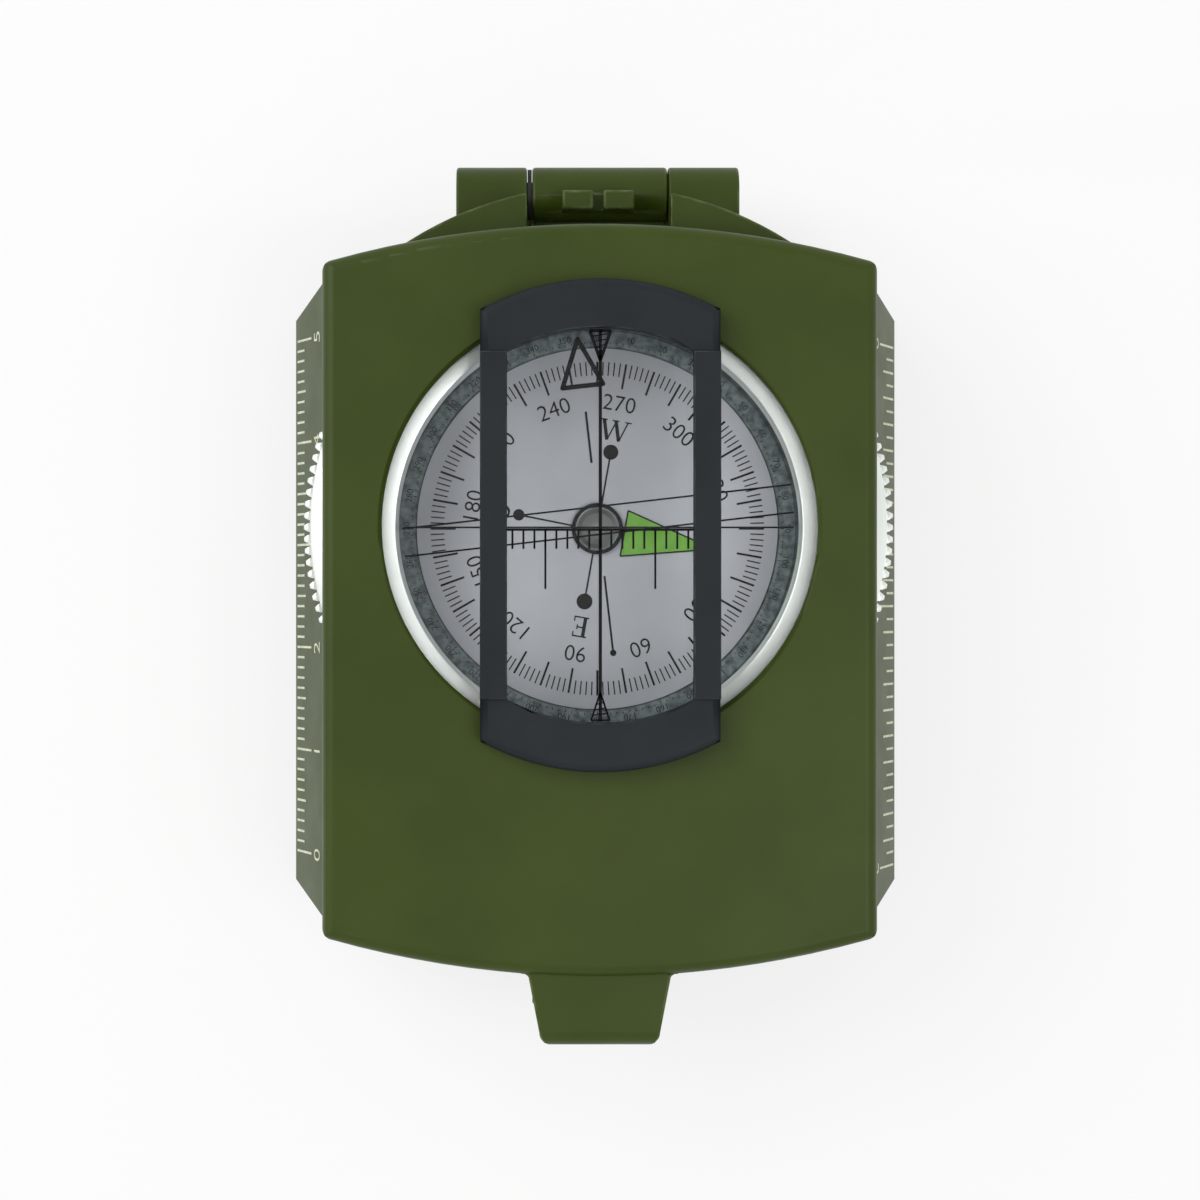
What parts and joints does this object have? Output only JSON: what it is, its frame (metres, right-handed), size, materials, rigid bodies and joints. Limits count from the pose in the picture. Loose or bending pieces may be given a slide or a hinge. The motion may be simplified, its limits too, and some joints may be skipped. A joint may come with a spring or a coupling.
{
  "type": "lensatic compass",
  "caption": "Folding lensatic compass: hinged lid with window and sight, turning bezel, swinging card, focusing eyepiece, finger loop and tripod socket.",
  "frame": {"origin": "middle of the closed compass in plan, at the height of the finger loop's resting tip, lowest under the case", "axes": "+Y from the eyepiece to the hinge, +X across the case to the right as the lid's face is read, +Z from the bottom cover to the lid's face"},
  "size_m": [0.059, 0.0822, 0.0306],
  "materials": {
    "case_green": "satin olive green paint on cast metal",
    "pin_green": "satin olive green paint",
    "cover_black": "fine-grained matt black",
    "sight_grey": "satin dark grey",
    "eyepiece_black": "satin black",
    "rubber_black": "matt",
    "screw_steel": "plain steel",
    "magnet_steel": "dark magnet steel",
    "bezel_silver": "bright silver, knurled rim",
    "brass": "turned",
    "clear_glass": "clear",
    "clear_plastic": "clear",
    "ring_grey": "mottled grey",
    "card_white": "satin white with black scale",
    "marker_green": "luminous green",
    "jewel_red": "polished jewel"
  },
  "bodies": {
    "base": {"base_housing": "case_green", "bottom_cover": "cover_black", "cover_gasket": "rubber_black", "cover_screws": "screw_steel", "tripod_insert": "brass", "capsule_cup": "clear_plastic", "capsule_crystal": "clear_glass", "capsule_gasket": "rubber_black", "scale_ring": "ring_grey", "pivot_pin": "screw_steel", "bezel_snap_ring": "screw_steel", "hinge_pin": "pin_green", "hinge_washer": "eyepiece_black", "loop_rivets": "pin_green", "eyepiece_bushing": "eyepiece_black"},
    "lid": {"lid_shell": "case_green", "lid_window": "clear_glass", "window_retainer": "eyepiece_black", "sight_frame": "sight_grey", "sight_pane": "clear_glass"},
    "bezel": {"bezel_ring": "bezel_silver", "bezel_glass": "clear_glass"},
    "card": {"compass_card": "card_white", "north_marker": "marker_green", "card_magnets": "magnet_steel", "jewel_bearing": "jewel_red", "hub_cap": "clear_plastic"},
    "loop": {"finger_loop": "case_green"},
    "lens_tube": {"lens_cell": "eyepiece_black", "eyepiece_lens": "clear_glass", "lens_retainer": "eyepiece_black"},
    "focus_knob": {"focus_ring": "eyepiece_black"}
  },
  "joints": [
    {"name": "lid_hinge", "type": "hinge", "parent": "base", "child": "lid", "pos_m": [0, 0.0386, 0.0158], "axis": [-1, 0, 0], "range_deg": [0, 180]},
    {"name": "bezel_turn", "type": "hinge", "parent": "base", "child": "bezel", "pos_m": [0, 0.0068, 0.0191], "axis": [0, 0, 1], "continuous": true},
    {"name": "card_swing", "type": "hinge", "parent": "base", "child": "card", "pos_m": [0, 0.0068, 0.0146], "axis": [0, 0, 1], "continuous": true},
    {"name": "loop_swing", "type": "hinge", "parent": "base", "child": "loop", "pos_m": [0, 0.0381, 0.0077], "axis": [-1, 0, 0], "range_deg": [-120, 0]},
    {"name": "focus_travel", "type": "slide", "parent": "base", "child": "lens_tube", "axis": [0, -1, 0], "range_m": [0, 0.0015]},
    {"name": "focus_turn", "type": "hinge", "parent": "lens_tube", "child": "focus_knob", "pos_m": [0, -0.0372, 0.0119], "axis": [0, -1, 0], "range_deg": [0, 360]}
  ],
  "couplings": [
    {"joint": "focus_turn", "follows": "focus_travel", "rad_per_m": 4188}
  ]
}
